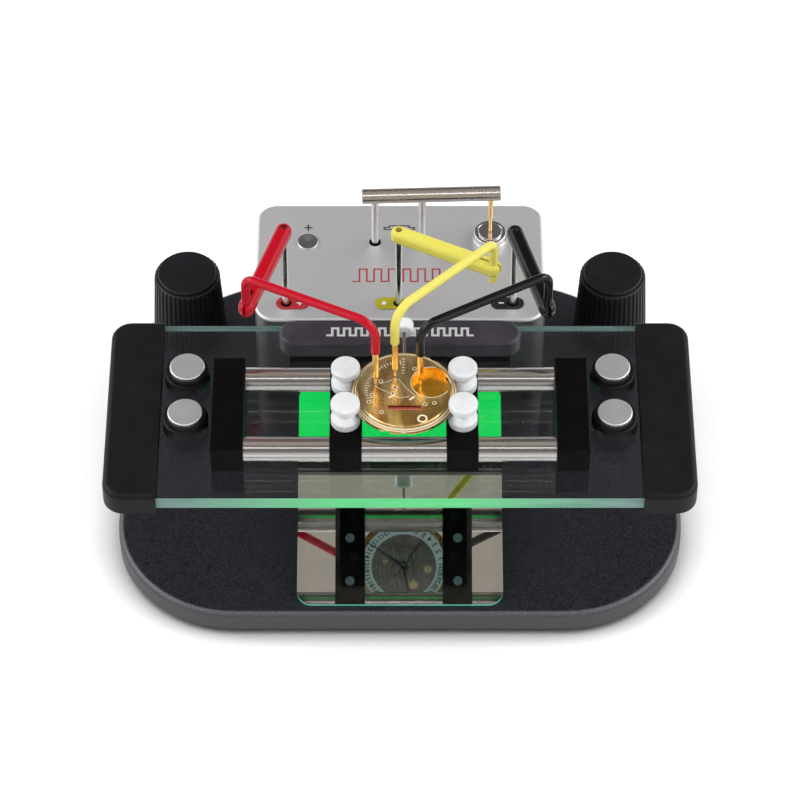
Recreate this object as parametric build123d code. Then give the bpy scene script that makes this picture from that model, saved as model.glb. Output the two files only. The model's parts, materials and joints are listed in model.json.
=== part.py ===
from build123d import *
import math
import os

# A stand that holds a quartz watch movement under three test probes and over a tilted
# mirror.  Every piece is drawn about the stage centre: the point midway between the two
# guide rods, at the height of their axes, with +X right, +Y back and +Z up.  save()
# moves it to the part frame, whose origin lies on the table under the middle of the stand.
STAGE_Y = -33.4
STAGE_Z = 58.7
TABLE = -STAGE_Z

CLEAR = 0.05                   # radial running clearance of every sliding or turning fit

# base plate
BASE_HALF = 70.8
BASE_FRONT = -21.7
BASE_REAR = 90.6
BASE_BOTTOM = -56.7
BASE_TOP = -50.5
FRONT_CORNER = 30.0
REAR_CORNER = 45.0
FOOT_X = 50.0
FOOT_Y = 2.0
FOOT_R = 6.0

# screws up through the base into the box and the wedge
SCREW_R = 1.5
SCREW_HOLE_R = 1.6
SCREW_HEAD_R = 3.0
SCREW_HEAD = 1.8               # height of the countersunk head
SCREW_X = 16.0
SCREW_Y = (42.6, 72.2)
SCREW_TOP = -40.0
WEDGE_SCREW_Y = 12.0
WEDGE_SCREW_TOP = -46.0
BOSS_R = 3.6
HEX_R = 1.2
HEX_DEEP = 1.0

# levelling knobs and their spindles
KNOB_X = 55.0
KNOB_Y = 72.0
KNOB_BOTTOM = -48.2
KNOB_TOP = -27.5
KNOB_R_BOTTOM = 9.45
KNOB_R_TOP = 8.45
KNOB_DISC_R = 7.6
FLUTES = 40
SPINDLE_R = 2.5
SPINDLE_FLAT = 1.9             # distance of the spindle's flat from its axis
SPINDLE_TOP = -33.0
SPINDLE_PAD_R = 5.2
NECK_R = 4.0                   # upper part of the bush, which the knob turns on
NECK_TOP = -41.0
KNOB_BORE_TOP = -40.0
BUSH_FLANGE_R = 5.4

# instrument box
BOX_HALF = 36.2
BOX_FRONT = 37.6
BOX_REAR = 77.2
BOX_TOP = -7.8
BOX_WALL = 2.5
BOX_ROOF = 3.0
BOX_CORNER = 5.0
SOCKET_Z = -34.0
SOCKET_R = 5.5
BOARD_LOW = -46.0
BOARD_THICK = 1.6

# probe arms: post centre, leg centre, tip centre, height of the arm's underside, foot of the
# leg, heights of the two bends, end of the coloured sleeve and the surface the tip stands on
POST_Y = 43.1
ARM_SIZE = 3.9
POST_R = 0.9
POST_LOW = -28.0
POST_BUSH_R = 1.35
COLLAR = 1.2                   # thickness of the collar that keeps a post in the box
COLLAR_EXTRA = 0.8             # how far a collar or a bush's shoulder stands out
BUSH_LONG = 6.0
SLEEVE_R = 1.1
BARREL_R = 0.75
SHANK_R = 0.5                  # the barrel's shank inside the sleeve
SHANK_LONG = 2.0
BARREL_LOW = 2.4               # height of the barrel's end above the surface it probes
PLUNGER_R = 0.3
PLUNGER_TOP = 6.2
BRIDGE_PLATE_TOP = 8.8         # top of the watch movement's bridge
POCKET_FLOOR = 6.8             # floor of the watch movement's cell pocket
TIP_GAP = 0.03                 # air under a probe tip at rest
ARMS = {
    "red": dict(post=(-28.4, POST_Y), leg=(-36.8, 18.1), tip=(-5.8, 1.7), under=16.1,
                foot=15.9, outer=28.5, inner=30.4, sleeve=20.6, surface=BRIDGE_PLATE_TOP),
    "yellow": dict(post=(-0.3, POST_Y), leg=(22.6, 32.0), tip=(-1.2, 4.1), under=15.1,
                   foot=12.9, outer=25.9, inner=32.2, sleeve=21.3, surface=BRIDGE_PLATE_TOP),
    "black": dict(post=(28.1, POST_Y), leg=(35.4, 18.3), tip=(4.85, 3.15), under=15.5,
                  foot=15.2, outer=29.5, inner=27.8, sleeve=18.2, surface=POCKET_FLOOR),
}
OUTER_BEND = 2.6
INNER_BEND = 4.6

# coloured pads round the posts: the end away from the post, and the pad's size
PAD_HALF = 1.95
PAD_THICK = 0.2
PADS = {"red": (-30.9, -22.6), "yellow": (-6.2, 2.0), "black": (22.6, 30.9)}

# button cell bridge: its bar runs a little askew, from BRIDGE_START along BRIDGE_SKEW
CELL_X = 22.75
CELL_Y = 65.15
CELL_R = 4.1
CELL_TOP = -4.8
CELL_HEIGHT = 2.0
SEAT_R = 4.4
BRIDGE_START = (-9.6, 64.0)
BRIDGE_LENGTH = 34.8
BRIDGE_SKEW = 2.0
BRIDGE_Z = 8.9
BRIDGE_R = 1.9
BRIDGE_POST_X = (-6.3, 5.55)
BRIDGE_POST_R = 0.95
BRIDGE_POST_LOW = -27.0
BRIDGE_BUSH_R = 1.5
CELL_PIN_R = 0.65
CELL_TIP_R = 0.42
PIN_BARREL_LOW = 0.4
STUD_R = 2.0
STUD_LONG = 5.0
PLUS_X = -23.3
PLUS_Y = 64.0
PLUS_R = 2.65

# stage: glass plate, end caps, bar, bracket and magnets
GLASS_X = 67.0
GLASS_FRONT = -22.9
GLASS_REAR = 32.1
GLASS_BOTTOM = -7.5
GLASS_TOP = -4.0
CAP_INNER = 58.0
CAP_OUTER = 70.8
CAP_FRONT = -23.8
CAP_REAR = 32.3
CAP_BOTTOM = -8.6
CAP_TOP = -2.2
CAP_CORNER = 5.0
BAR_HALF = 29.5
BAR_Y = (22.1, 29.7)
BAR_TOP = 0.8
BRACKET_HALF = 27.0
BRACKET_THICK = 2.5
BRACKET_STEP = (30.5, 33.0)    # front and rear of the bracket's upright
BRACKET_FOOT_TOP = -12.0
BRACKET_LOW = -24.0
BRACKET_SCREW_X = 20.0
CLAMP_SCREW_R = 1.25
CLAMP_HOLE_R = 1.7
CLAMP_SCREW_DEEP = 3.0
CLAMP_HEAD = (2.4, 1.8)        # radius and height of the screw's head
MAGNET_X = 51.6
MAGNET_Y = (14.3, -0.25)
MAGNET_TOP = 1.2
MAGNET_R = 5.55
DISC_R = 4.25
DISC_THICK = 1.5

# vice: guide rods, end blocks, jaws and spools
ROD_R = 3.0
ROD_Y = 11.0
ROD_HALF = 44.2
BLOCK_INNER = 37.3
BLOCK_OUTER = 45.2
JAW_HALF_Y = 14.7
JAW_TOP = 4.0
JAW_LOW = -3.8
JAW_LEFT = (-16.8, -9.1)
JAW_RIGHT = (11.1, 18.7)
SPOOL_X = {"left": -13.0, "right": 15.0}
SPOOL_Y = 5.65
SPOOL_R = 3.5
SPOOL_NECK_R = 2.24
SPOOL_TOP = 11.05
GRIP_Z = 7.6
PIN_R = 1.2
PIN_TOP = 9.0

# mirror and green window, on a slope that rises to the back
MIRROR_HALF = 25.5
MIRROR_FRONT_Y = -19.2
MIRROR_FRONT_Z = -49.7
MIRROR_TILT = 14.23
MIRROR_LENGTH = 58.3
MIRROR_THICK = 0.8
WINDOW_START = 42.0
CARRIER_INSET = 1.5
RECESS_DEPTH = 8.0             # depth of the wedge's recess under the green window
LAMP_BOARD = 1.2

# watch movement
MOVE_X = 1.0
FLANGE_R = 12.8
BODY_R = 11.4
CELL_POCKET = (7.4, 2.49)
POCKET_R = 4.7
PLATE_TOP = 7.8                # top of the main plate, under the bridge
FLANGE_LOW = 7.35
DIAL_Z = 6.2
RING_THICK = 0.4
RING_R = (8.5, 11.0)           # inner and outer radius of the date ring
COIL_WINDOW = (-2.95, 5.1, -6.15, -4.85)
ARBOR_R = 0.3
STEM_Z = 7.0
STEM_R = 0.4
CROWN_R = 2.3
CROWN_LENGTH = 3.4


def block(x0, x1, y0, y1, z0, z1):
    """A box between two corners."""
    centre = Pos((x0 + x1) / 2, (y0 + y1) / 2, (z0 + z1) / 2)
    return centre * Box(x1 - x0, y1 - y0, z1 - z0)


def rod(x, y, z0, z1, radius):
    """An upright cylinder between two heights."""
    return Pos(x, y, (z0 + z1) / 2) * Cylinder(radius, z1 - z0)


def upright_edges(part):
    return part.edges().filter_by(Axis.Z)


def top_edges(part):
    return part.faces().sort_by(Axis.Z)[-1].edges()


def save(name, *pieces):
    """Write one node, which may hold several solids, in the part frame."""
    solids = [solid for piece in pieces for solid in piece.solids()]
    node = Compound(solids).moved(Location((0, STAGE_Y, STAGE_Z)))
    export_step(node, f"parts/{name}.step")


# ---------------------------------------------------------------- base and levelling

def base_plate():
    plate = block(-BASE_HALF, BASE_HALF, BASE_FRONT, BASE_REAR, BASE_BOTTOM, BASE_TOP)
    plate = fillet(upright_edges(plate).sort_by(Axis.Y)[:2], FRONT_CORNER)
    plate = fillet(upright_edges(plate).sort_by(Axis.Y)[-2:], REAR_CORNER)
    plate = fillet(top_edges(plate), 1.6)
    plate = chamfer(plate.faces().sort_by(Axis.Z)[0].edges(), 0.4)
    for side in (-1, 1):
        plate -= rod(side * KNOB_X, KNOB_Y, BASE_BOTTOM, BASE_TOP, NECK_R)
    for x, y, z in fixing_points():
        plate -= rod(x, y, BASE_BOTTOM, BASE_TOP, SCREW_HOLE_R)
        plate -= screw_head(x, y)
    return plate


def fixing_points():
    """Screw axes with the height each screw reaches to: four for the box, two for the wedge."""
    points = [(side * SCREW_X, y, SCREW_TOP) for side in (-1, 1) for y in SCREW_Y]
    return points + [(side * SCREW_X, WEDGE_SCREW_Y, WEDGE_SCREW_TOP) for side in (-1, 1)]


def screw_head(x, y):
    return Pos(x, y, BASE_BOTTOM + SCREW_HEAD / 2) * Cone(SCREW_HEAD_R, SCREW_R, SCREW_HEAD)


def fixing_screws():
    screws = []
    for x, y, top in fixing_points():
        screw = screw_head(x, y) + rod(x, y, BASE_BOTTOM + SCREW_HEAD / 2, top, SCREW_R)
        screw -= Pos(x, y, BASE_BOTTOM) * extrude(RegularPolygon(HEX_R, 6), HEX_DEEP)
        screws.append(screw)
    return screws


def front_feet():
    feet = []
    for side in (-1, 1):
        foot = rod(side * FOOT_X, FOOT_Y, TABLE, BASE_BOTTOM, FOOT_R)
        feet.append(fillet(foot.faces().sort_by(Axis.Z)[0].edges(), 0.4))
    return feet


def spindle_section(radius, flat):
    """A round section with one flat, which keeps the spindle from turning in its bush."""
    return Circle(radius) - Pos(flat + radius, 0) * Rectangle(2 * radius, 2 * radius)


def level_bushing(side):
    """Bush pressed into the base: the spindle slides in it and the knob turns on its neck."""
    bush = rod(0, 0, BASE_BOTTOM, NECK_TOP, NECK_R)
    bush += rod(0, 0, BASE_TOP, KNOB_BOTTOM - 2 * CLEAR, BUSH_FLANGE_R)
    bore = extrude(spindle_section(SPINDLE_R + CLEAR, SPINDLE_FLAT + CLEAR), 20.0)
    bush -= Pos(0, 0, BASE_BOTTOM - 1.0) * bore
    return Pos(side * KNOB_X, KNOB_Y, 0) * bush


def level_spindle(side):
    """Threaded spindle with a foot pad below the base; it rises inside the knob."""
    stem = extrude(spindle_section(SPINDLE_R, SPINDLE_FLAT), SPINDLE_TOP - BASE_BOTTOM)
    pad = fillet(rod(0, 0, TABLE, BASE_BOTTOM, SPINDLE_PAD_R).faces().sort_by(Axis.Z)[0].edges(), 0.4)
    return Pos(side * KNOB_X, KNOB_Y, 0) * (Pos(0, 0, BASE_BOTTOM) * stem + pad)


def level_knob(side):
    """Tapered knob with straight flutes and a raised disc on top."""
    shoulder = KNOB_TOP - 0.9
    height = shoulder - KNOB_BOTTOM
    skirt = Pos(0, 0, KNOB_BOTTOM + height / 2) * Cone(KNOB_R_BOTTOM, KNOB_R_TOP, height)
    skirt = chamfer(top_edges(skirt), 0.5)
    draft = math.degrees(math.atan((KNOB_R_BOTTOM - KNOB_R_TOP) / height))
    middle_r = (KNOB_R_BOTTOM + KNOB_R_TOP) / 2
    groove = Pos(middle_r + 0.12, 0, KNOB_BOTTOM + height / 2) * Rot(0, -draft, 0)
    groove = groove * Cylinder(0.42, height + 4.0)
    skirt -= [Rot(0, 0, 360.0 / FLUTES * i) * groove for i in range(FLUTES)]
    disc = rod(0, 0, shoulder, KNOB_TOP, KNOB_DISC_R)
    knob = skirt + fillet(top_edges(disc), 0.45)
    knob -= rod(0, 0, KNOB_BOTTOM, KNOB_BORE_TOP, NECK_R + CLEAR)
    knob -= rod(0, 0, KNOB_BORE_TOP, SPINDLE_TOP + 0.5, SPINDLE_R + CLEAR)
    return Pos(side * KNOB_X, KNOB_Y, 0) * knob


# ---------------------------------------------------------------- instrument box

def instrument_box():
    shell = block(-BOX_HALF, BOX_HALF, BOX_FRONT, BOX_REAR, BASE_TOP, BOX_TOP)
    shell = fillet(upright_edges(shell), BOX_CORNER)
    shell = fillet(top_edges(shell), 0.7)
    inner = block(-BOX_HALF + BOX_WALL, BOX_HALF - BOX_WALL, BOX_FRONT + BOX_WALL,
                  BOX_REAR - BOX_WALL, BASE_TOP, BOX_TOP - BOX_ROOF)
    shell -= fillet(upright_edges(inner), BOX_CORNER - BOX_WALL)
    for side in (-1, 1):
        for y in SCREW_Y:
            shell += rod(side * SCREW_X, y, BASE_TOP, BOX_TOP - BOX_ROOF, BOSS_R)
            shell -= rod(side * SCREW_X, y, BASE_TOP, SCREW_TOP, SCREW_R)
    for x, y, radius in bush_places():
        shell -= rod(x, y, BOX_TOP - BOX_ROOF, BOX_TOP, radius)
    shell -= rod(CELL_X, CELL_Y, BOX_TOP - BOX_ROOF, BOX_TOP, STUD_R)
    shell -= rod(PLUS_X, PLUS_Y, BOX_TOP - BOX_ROOF, BOX_TOP, PLUS_R)
    port = Pos(0, BOX_REAR - BOX_WALL / 2, SOCKET_Z) * Rot(90, 0, 0)
    return shell - port * Cylinder(SOCKET_R, BOX_WALL)


def bush_places():
    """Each plastic bush in the box roof: x, y and outer radius."""
    places = [(arm["post"][0], arm["post"][1], POST_BUSH_R) for arm in ARMS.values()]
    return places + [(x, bridge_y(x), BRIDGE_BUSH_R) for x in BRIDGE_POST_X]


def bridge_y(x):
    """How far back the skew bridge bar is at x."""
    return BRIDGE_START[1] + (x - BRIDGE_START[0]) * math.tan(math.radians(BRIDGE_SKEW))


def post_bushings():
    bushes = []
    for x, y, radius in bush_places():
        bore = POST_R if y == POST_Y else BRIDGE_POST_R
        bush = rod(x, y, BOX_TOP - BUSH_LONG, BOX_TOP, radius)
        bush += rod(x, y, BOX_TOP - BUSH_LONG, BOX_TOP - BOX_ROOF, radius + COLLAR_EXTRA)
        bushes.append(bush - rod(x, y, BOX_TOP - BUSH_LONG, BOX_TOP, bore + CLEAR))
    return bushes


def circuit_board():
    """Board round the four screw bosses, with three chips and a crystal can."""
    top = BOARD_LOW + BOARD_THICK
    board = block(-32.0, 32.0, 41.3, 73.5, BOARD_LOW, top)
    for side in (-1, 1):
        for y in SCREW_Y:
            board -= rod(side * SCREW_X, y, BOARD_LOW, top, BOSS_R + 0.1)
    board += block(-12.0, 4.0, 50.0, 60.0, top, top + 2.2)
    board += block(10.0, 20.0, 54.0, 60.0, top, top + 1.8)
    board += block(-27.0, -21.0, 54.0, 59.0, top, top + 1.8)
    board += rod(24.0, 48.0, top, top + 5.0, 2.5)
    return board


def rear_socket():
    """Round cable socket let into the back wall of the box."""
    turn = Rot(90, 0, 0)
    socket = Pos(0, BOX_REAR + 0.6, SOCKET_Z) * turn * Cylinder(7.0, 1.2)
    socket += Pos(0, BOX_REAR - 3.5, SOCKET_Z) * turn * Cylinder(SOCKET_R, 7.0)
    socket -= Pos(0, BOX_REAR - 1.4, SOCKET_Z) * turn * Cylinder(4.2, 5.4)
    socket += Pos(0, BOX_REAR - 2.5, SOCKET_Z) * turn * Cylinder(2.2, 6.0)
    return socket


def pole_pad(colour):
    x0, x1 = PADS[colour]
    post_x, post_y = ARMS[colour]["post"]
    pad = extrude(SlotOverall(x1 - x0, 2 * PAD_HALF), PAD_THICK)
    pad = Pos((x0 + x1) / 2, post_y, BOX_TOP) * pad
    return pad - rod(post_x, post_y, BOX_TOP, BOX_TOP + PAD_THICK, POST_BUSH_R)


# ---------------------------------------------------------------- probe arms

def post(colour):
    x, y = ARMS[colour]["post"]
    stem = rod(x, y, POST_LOW, ARMS[colour]["under"] + ARM_SIZE - 1.2, POST_R)
    return stem + rod(x, y, POST_LOW, POST_LOW + COLLAR, POST_R + COLLAR_EXTRA)


def arm(colour):
    """Bar from the post to the probe leg, split at the far end to clamp the leg."""
    spec = ARMS[colour]
    (px, py), (lx, ly) = spec["post"], spec["leg"]
    length = math.dist(spec["post"], spec["leg"])
    heading = math.degrees(math.atan2(ly - py, lx - px))
    bar = extrude(SlotCenterToCenter(length, ARM_SIZE), ARM_SIZE)
    ends = [bar.faces().sort_by(Axis.Z)[0], bar.faces().sort_by(Axis.Z)[-1]]
    bar = fillet([edge for face in ends for edge in face.edges()], ARM_SIZE * 0.36)
    bar = Pos(length / 2, 0, 0) * bar
    bar -= rod(0, 0, 0, ARM_SIZE, POST_R)
    bar -= rod(length, 0, 0, ARM_SIZE, SLEEVE_R + CLEAR)
    bar -= block(length - 4.2, length + ARM_SIZE, -0.35, 0.35, 0, ARM_SIZE)
    return Pos(px, py, spec["under"]) * Rot(0, 0, heading) * bar


def probe_rod(colour):
    """Bent rod in its coloured sleeve: up from the arm, sloping in, then down to the barrel."""
    spec = ARMS[colour]
    (lx, ly), (tx, ty) = spec["leg"], spec["tip"]
    reach = math.dist(spec["leg"], spec["tip"])
    heading = math.degrees(math.atan2(ty - ly, tx - lx))
    bends = [(0, 0, spec["foot"]), (0, 0, spec["outer"]), (reach, 0, spec["inner"]),
             (reach, 0, spec["sleeve"])]
    path = FilletPolyline(*bends, radius=[OUTER_BEND, INNER_BEND])
    sleeve = sweep(Pos(0, 0, spec["foot"]) * Circle(SLEEVE_R), path)
    sleeve -= rod(reach, 0, spec["sleeve"] - 1.0, spec["sleeve"] + SHANK_LONG, SHANK_R)
    return Pos(lx, ly, 0) * Rot(0, 0, heading) * sleeve


def probe_barrel(colour):
    """Gold tube of a spring probe, closed round its plunger and necked at the bottom."""
    spec = ARMS[colour]
    x, y = spec["tip"]
    low = spec["surface"] + BARREL_LOW
    tube = rod(x, y, low + 1.0, spec["sleeve"], BARREL_R)
    tube += Pos(x, y, low + 0.5) * Cone(0.52, BARREL_R, 1.0)
    tube += rod(x, y, spec["sleeve"], spec["sleeve"] + SHANK_LONG, SHANK_R)
    return tube - rod(x, y, low, low + 5.5, PLUNGER_R + CLEAR)


def probe_tip(colour):
    """Thin sprung plunger with a pointed end."""
    spec = ARMS[colour]
    x, y = spec["tip"]
    low = spec["surface"] + TIP_GAP
    tip = rod(x, y, low + 0.7, spec["surface"] + PLUNGER_TOP, PLUNGER_R)
    return tip + Pos(x, y, low + 0.35) * Cone(0.1, PLUNGER_R, 0.7)


# ---------------------------------------------------------------- button cell bridge

def bridge_bar():
    bar = Pos(BRIDGE_LENGTH / 2, 0, 0) * Rot(0, 90, 0) * Cylinder(BRIDGE_R, BRIDGE_LENGTH)
    bar = chamfer(bar.edges().filter_by(GeomType.CIRCLE), 0.25)
    bar = Pos(*BRIDGE_START, BRIDGE_Z) * Rot(0, 0, BRIDGE_SKEW) * bar
    for x in BRIDGE_POST_X:
        bar -= rod(x, bridge_y(x), BRIDGE_Z - BRIDGE_R, BRIDGE_Z, BRIDGE_POST_R)
    return bar - rod(CELL_X, CELL_Y, BRIDGE_Z - BRIDGE_R, BRIDGE_Z, CELL_PIN_R)


def bridge_posts():
    posts = []
    for x in BRIDGE_POST_X:
        stem = rod(x, bridge_y(x), BRIDGE_POST_LOW, BRIDGE_Z, BRIDGE_POST_R)
        foot = rod(x, bridge_y(x), BRIDGE_POST_LOW, BRIDGE_POST_LOW + COLLAR,
                   BRIDGE_POST_R + COLLAR_EXTRA)
        posts.append(stem + foot)
    return posts


def cell_pin_barrel():
    tube = rod(CELL_X, CELL_Y, PIN_BARREL_LOW, BRIDGE_Z, CELL_PIN_R)
    return tube - rod(CELL_X, CELL_Y, PIN_BARREL_LOW, PIN_BARREL_LOW + 5.0, CELL_TIP_R + CLEAR)


def cell_pin_tip():
    low = CELL_TOP + TIP_GAP
    pin = rod(CELL_X, CELL_Y, low + 0.4, PIN_BARREL_LOW + 3.2, CELL_TIP_R)
    return pin + Pos(CELL_X, CELL_Y, low + 0.2) * Cone(0.22, CELL_TIP_R, 0.4)


def cell_contacts():
    """Seat that carries the button cell, and the flat plus contact, each with a stud below."""
    seat_top = CELL_TOP - CELL_HEIGHT
    seat = fillet(top_edges(rod(CELL_X, CELL_Y, BOX_TOP, seat_top, SEAT_R)), 0.2)
    seat += rod(CELL_X, CELL_Y, BOX_TOP - STUD_LONG, BOX_TOP, STUD_R)
    contact = rod(PLUS_X, PLUS_Y, BOX_TOP - STUD_LONG, BOX_TOP + 0.5, PLUS_R)
    contact = fillet(top_edges(contact), 0.2)
    contact -= Pos(PLUS_X, PLUS_Y, BOX_TOP + 0.4) * Cone(0.3, 2.2, 0.2)
    return [seat, contact]


def button_cell():
    """Low can with a narrower cap standing in a groove on top."""
    low = CELL_TOP - CELL_HEIGHT
    can = fillet(top_edges(rod(CELL_X, CELL_Y, low, CELL_TOP - 0.35, CELL_R)), 0.3)
    can -= rod(CELL_X, CELL_Y, CELL_TOP - 0.6, CELL_TOP, 3.4)
    cap = fillet(top_edges(rod(CELL_X, CELL_Y, CELL_TOP - 0.6, CELL_TOP, 3.0)), 0.2)
    return can + cap


# ---------------------------------------------------------------- stage

def glass_plate():
    plate = block(-GLASS_X, GLASS_X, GLASS_FRONT, GLASS_REAR, GLASS_BOTTOM, GLASS_TOP)
    for side in (-1, 1):
        plate -= rod(side * BRACKET_SCREW_X, sum(BAR_Y) / 2, GLASS_BOTTOM, GLASS_TOP, CLAMP_HOLE_R)
    return plate


def end_cap(side):
    """Long cap with a slot that takes the end of the glass."""
    cap = block(CAP_INNER, CAP_OUTER, CAP_FRONT, CAP_REAR, CAP_BOTTOM, CAP_TOP)
    outer = upright_edges(cap).sort_by(Axis.X)[-2:]
    cap = fillet(outer, CAP_CORNER)
    rim = [edge for edge in top_edges(cap) if edge.center().X > CAP_INNER + 0.5]
    cap = fillet(rim, 1.5)
    cap -= block(CAP_INNER, GLASS_X, GLASS_FRONT, GLASS_REAR, GLASS_BOTTOM, GLASS_TOP)
    return cap if side > 0 else mirror(cap, Plane.YZ)


def magnet_places():
    return [(side * MAGNET_X, y) for side in (-1, 1) for y in MAGNET_Y]


def magnet_cup(x, y):
    cup = rod(x, y, GLASS_TOP, GLASS_TOP + 3.4, MAGNET_R)
    cup = fillet(top_edges(cup), 0.6)
    cup += rod(x, y, GLASS_TOP + 3.4, MAGNET_TOP - 0.9, 5.0)
    return cup - rod(x, y, MAGNET_TOP - DISC_THICK, MAGNET_TOP, DISC_R)


def magnet_disc(x, y):
    disc = rod(x, y, MAGNET_TOP - DISC_THICK, MAGNET_TOP, DISC_R)
    return fillet(top_edges(disc), 0.3)


def clamp_bar():
    """Bar with rounded ends that clamps the rear of the glass to the bracket."""
    width = BAR_Y[1] - BAR_Y[0]
    bar = extrude(SlotOverall(2 * BAR_HALF, width), BAR_TOP - GLASS_TOP)
    bar = chamfer(top_edges(bar), 0.6)
    bar = Pos(0, sum(BAR_Y) / 2, GLASS_TOP) * bar
    for side in (-1, 1):
        bar -= rod(side * BRACKET_SCREW_X, sum(BAR_Y) / 2, GLASS_TOP,
                   GLASS_TOP + CLAMP_SCREW_DEEP + 0.2, CLAMP_SCREW_R)
    return bar


def support_bracket():
    """Bent plate that steps up from the front wall of the box to the rear of the glass."""
    front, rear = BRACKET_STEP
    shelf_low = GLASS_BOTTOM - BRACKET_THICK
    foot_low = BRACKET_FOOT_TOP - BRACKET_THICK
    wall = BOX_FRONT - BRACKET_THICK
    bracket = block(-BRACKET_HALF, BRACKET_HALF, BAR_Y[0], rear, shelf_low, GLASS_BOTTOM)
    bracket += block(-BRACKET_HALF, BRACKET_HALF, front, rear, foot_low, GLASS_BOTTOM)
    bracket += block(-BRACKET_HALF, BRACKET_HALF, front, BOX_FRONT, foot_low, BRACKET_FOOT_TOP)
    bracket += block(-BRACKET_HALF, BRACKET_HALF, wall, BOX_FRONT, BRACKET_LOW, BRACKET_FOOT_TOP)
    for side in (-1, 1):
        bracket -= rod(side * BRACKET_SCREW_X, sum(BAR_Y) / 2, shelf_low,
                       GLASS_BOTTOM, CLAMP_HOLE_R)
    return bracket


def clamp_screws():
    """Screws up through the bracket and the glass into the bar."""
    screws = []
    shelf_low = GLASS_BOTTOM - BRACKET_THICK
    head_r, head_height = CLAMP_HEAD
    head_low = shelf_low - head_height
    for side in (-1, 1):
        x, y = side * BRACKET_SCREW_X, sum(BAR_Y) / 2
        screw = rod(x, y, shelf_low, GLASS_TOP + CLAMP_SCREW_DEEP, CLAMP_SCREW_R)
        screw += rod(x, y, head_low, shelf_low, head_r)
        screw -= Pos(x, y, head_low) * extrude(RegularPolygon(HEX_R, 6), HEX_DEEP)
        screws.append(screw)
    return screws


# ---------------------------------------------------------------- vice

def lying_rod(y, x0, x1, radius):
    return Pos((x0 + x1) / 2, y, 0) * Rot(0, 90, 0) * Cylinder(radius, x1 - x0)


def guide_rods():
    return [lying_rod(side * ROD_Y, -ROD_HALF, ROD_HALF, ROD_R) for side in (-1, 1)]


def end_block(side):
    end = block(BLOCK_INNER, BLOCK_OUTER, -JAW_HALF_Y, JAW_HALF_Y, GLASS_TOP, JAW_TOP)
    end = chamfer(end.edges(), 0.25)
    for y in (-ROD_Y, ROD_Y):
        end -= lying_rod(y, BLOCK_INNER, ROD_HALF, ROD_R)
    return end if side > 0 else mirror(end, Plane.YZ)


def jaw(span, spool_x):
    x0, x1 = span
    body = chamfer(block(x0, x1, -JAW_HALF_Y, JAW_HALF_Y, JAW_LOW, JAW_TOP).edges(), 0.25)
    for side in (-1, 1):
        body -= lying_rod(side * ROD_Y, x0, x1, ROD_R + CLEAR)
        body -= rod(spool_x, side * SPOOL_Y, JAW_LOW, JAW_TOP, PIN_R)
    return body


def spool(x, y):
    """Turned nylon spool: a flat disc, a V groove that grips the movement, a domed head."""
    slant = 1.5
    lip = 0.25
    body = rod(0, 0, JAW_TOP, GRIP_Z - slant - lip, SPOOL_R)
    body += Pos(0, 0, GRIP_Z - lip - slant / 2) * Cone(SPOOL_R, SPOOL_NECK_R, slant)
    body += rod(0, 0, GRIP_Z - lip, GRIP_Z + lip, SPOOL_NECK_R)
    body += Pos(0, 0, GRIP_Z + lip + slant / 2) * Cone(SPOOL_NECK_R, SPOOL_R, slant)
    body += rod(0, 0, GRIP_Z + slant + lip, SPOOL_TOP, SPOOL_R)
    body = fillet(top_edges(body), 0.6)
    body -= rod(0, 0, JAW_TOP, PIN_TOP, PIN_R)
    return Pos(x, y, 0) * body


def spool_pin(x, y):
    return rod(x, y, JAW_LOW, PIN_TOP, PIN_R)


# ---------------------------------------------------------------- mirror and light

def on_slope(part):
    """Lay a part on the mirror's slope: its Y runs up the slope and its Z stands off it."""
    return Pos(0, MIRROR_FRONT_Y, MIRROR_FRONT_Z) * Rot(MIRROR_TILT, 0, 0) * part


def slope(start, end, half, low, high):
    """A slab on the slope, between two distances up it and two heights off it."""
    return on_slope(block(-half, half, start, end, low, high))


def rounded_slab(start, end, front_r, rear_r):
    slab = block(-MIRROR_HALF, MIRROR_HALF, start, end, -MIRROR_THICK, 0)
    corners = upright_edges(slab).sort_by(Axis.Y)
    if front_r:
        slab = fillet(corners[:2], front_r)
    if rear_r:
        slab = fillet(corners[2:], rear_r)
    return on_slope(slab)


def mirror_carrier():
    """Wedge that holds the mirror at its tilt, hollow under the green window."""
    half = MIRROR_HALF - CARRIER_INSET
    wedge = slope(CARRIER_INSET, MIRROR_LENGTH - CARRIER_INSET, half, -25.0, -MIRROR_THICK)
    wedge -= block(-BASE_HALF, BASE_HALF, BASE_FRONT - 9.0, BASE_REAR, -90.0, BASE_TOP)
    wedge -= block(-BASE_HALF, BASE_HALF, BOX_FRONT - 0.3, BASE_REAR, BASE_TOP, BOX_TOP)
    wedge -= slope(WINDOW_START + 2.0, MIRROR_LENGTH - 4.0, half - 3.0, -RECESS_DEPTH,
                   -MIRROR_THICK)
    for side in (-1, 1):
        wedge -= rod(side * SCREW_X, WEDGE_SCREW_Y, BASE_TOP, WEDGE_SCREW_TOP, SCREW_R)
    return wedge


def led_board():
    """Board on the floor of the wedge's recess, with two rows of small lamps."""
    top = LAMP_BOARD - RECESS_DEPTH
    board = slope(WINDOW_START + 2.5, MIRROR_LENGTH - 4.5, 21.0, -RECESS_DEPTH, top)
    for row in (WINDOW_START + 5.0, WINDOW_START + 9.5):
        for i in range(7):
            x = -18.0 + 6.0 * i
            board += on_slope(block(x - 0.9, x + 0.9, row, row + 1.4, top, top + 0.7))
    return board


# ---------------------------------------------------------------- watch movement

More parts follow.
